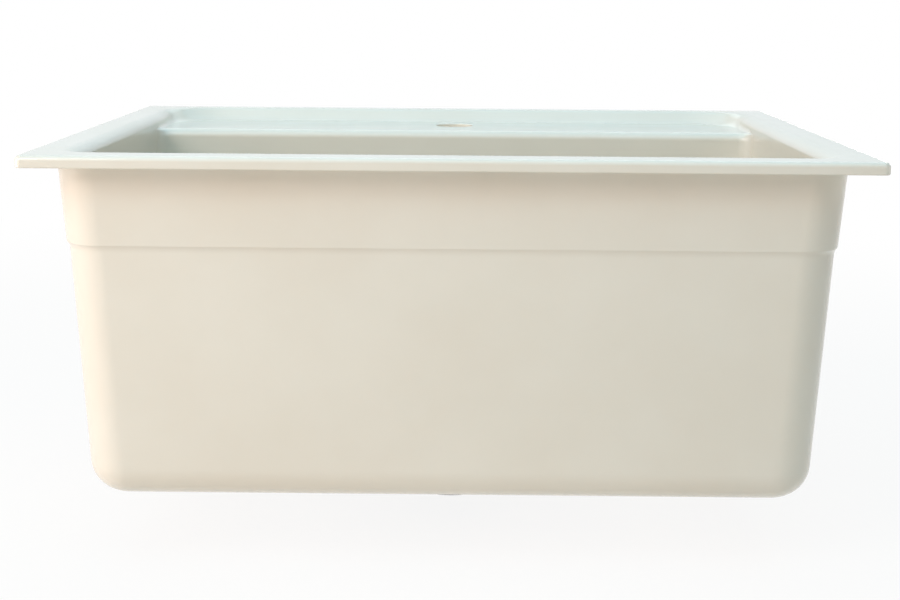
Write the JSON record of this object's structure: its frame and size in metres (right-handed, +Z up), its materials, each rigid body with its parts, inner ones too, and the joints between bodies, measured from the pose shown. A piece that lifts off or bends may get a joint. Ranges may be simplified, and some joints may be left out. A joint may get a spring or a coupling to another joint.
{
  "type": "drop-in kitchen sink",
  "caption": "Deep drop-in kitchen sink in cast composite, with a lowered tap deck, a basket waste whose strainer lifts out, a pull-up plunger and a pipe outlet towards the back.",
  "frame": {"origin": "middle of the plane that the rim's underside rests on, which is the top of the worktop", "axes": "+X along the sink's length to the right, +Y to the back where the tap deck is, +Z up"},
  "size_m": [0.61, 0.457, 0.3199],
  "materials": {
    "cast_composite": "gloss, cast mineral composite",
    "pressed_steel": "satin, pressed sheet",
    "steel_fastener": "turned",
    "insert_brass": "turned",
    "waste_plastic": "moulded",
    "pipe_plastic": "extruded",
    "bush_plastic": "moulded",
    "grey_rubber": "smooth",
    "black_rubber": "smooth",
    "knob_chrome": "polished"
  },
  "bodies": {
    "sink": {"basin": "cast_composite", "flange_seal": "grey_rubber", "waste_flange": "pressed_steel", "screw_washer": "steel_fastener", "clamp_screw": "steel_fastener", "body_gasket": "black_rubber", "body_insert": "insert_brass", "waste_body": "waste_plastic", "outlet_washer": "black_rubber", "outlet_nut": "waste_plastic", "outlet_tailpiece": "pipe_plastic"},
    "basket": {"basket_cup": "pressed_steel", "basket_bush": "bush_plastic", "stem_ring": "black_rubber"},
    "plunger": {"basket_stem": "steel_fastener", "basket_knob": "knob_chrome", "stopper_washer": "steel_fastener", "stopper_seal": "black_rubber", "stopper_nut": "steel_fastener"}
  },
  "joints": [
    {"name": "basket_lift", "type": "slide", "parent": "sink", "child": "basket", "axis": [0, 0, 1], "range_m": [0, 0.3]},
    {"name": "plunger_lift", "type": "slide", "parent": "basket", "child": "plunger", "axis": [0, 0, 1], "range_m": [0, 0.0055]}
  ]
}
